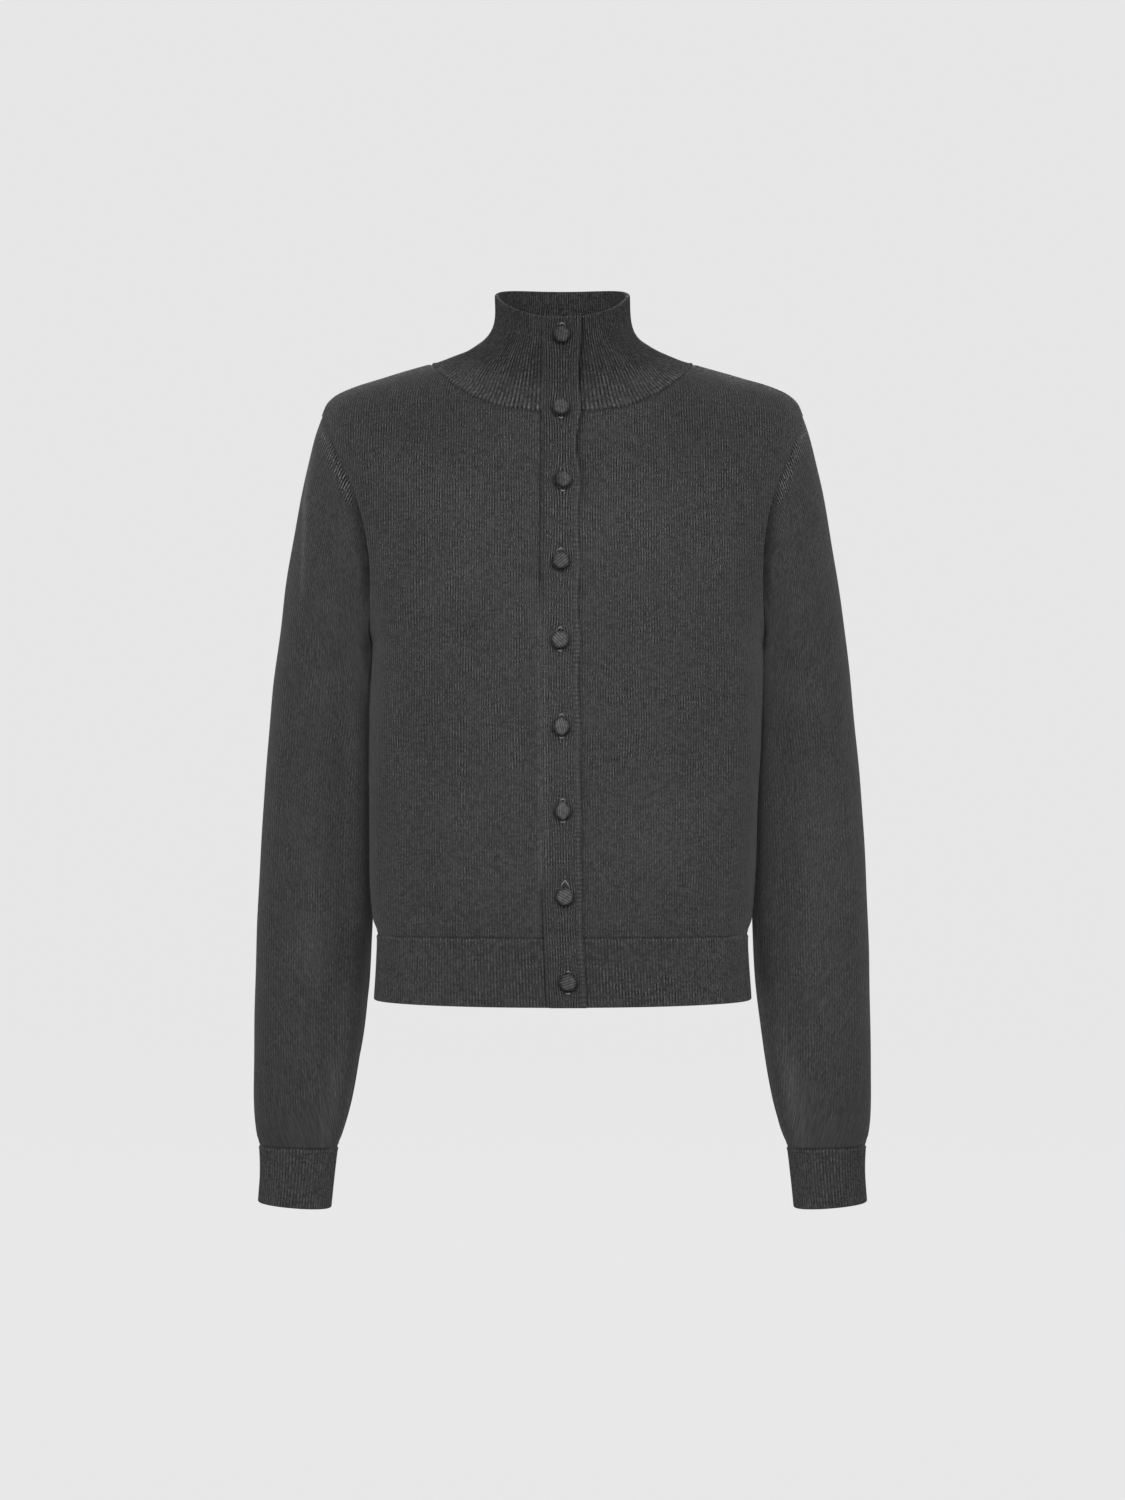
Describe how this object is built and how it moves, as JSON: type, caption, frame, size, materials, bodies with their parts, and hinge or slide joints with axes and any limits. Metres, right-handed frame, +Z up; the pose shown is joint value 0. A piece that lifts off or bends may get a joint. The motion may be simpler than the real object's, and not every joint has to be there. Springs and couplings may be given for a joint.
{
  "type": "button cardigan",
  "caption": "Hip-length knitted cardigan with a ribbed funnel neck, set-in sleeves, ribbed hem and cuffs, and a full-length band of knit-covered round buttons.",
  "frame": {"origin": "middle of the neck at the height where the collar seam crosses the shoulders, where the wearer carries the garment", "axes": "+Z up, +X to the wearer's left, -Y in front of the wearer"},
  "size_m": [0.4976, 0.242, 0.7393],
  "materials": {
    "plain_knit": "matt fine-gauge plain knit, charcoal grey",
    "rib_knit": "matt ribbed knit, charcoal grey",
    "covered_button": "dome covered in the same charcoal knit"
  },
  "bodies": {
    "root": {"front_right": "plain_knit", "front_left": "plain_knit", "back": "plain_knit", "sleeve_right": "plain_knit", "sleeve_left": "plain_knit", "collar": "rib_knit", "hem_rib_front_right": "rib_knit", "hem_rib_front_left": "rib_knit", "hem_rib_back": "rib_knit", "cuff_right": "rib_knit", "cuff_left": "rib_knit", "buttonhole_band": "rib_knit", "button_band": "rib_knit", "button_1": "covered_button", "button_2": "covered_button", "button_3": "covered_button", "button_4": "covered_button", "button_5": "covered_button", "button_6": "covered_button", "button_7": "covered_button", "button_8": "covered_button", "button_9": "covered_button"}
  },
  "joints": []
}
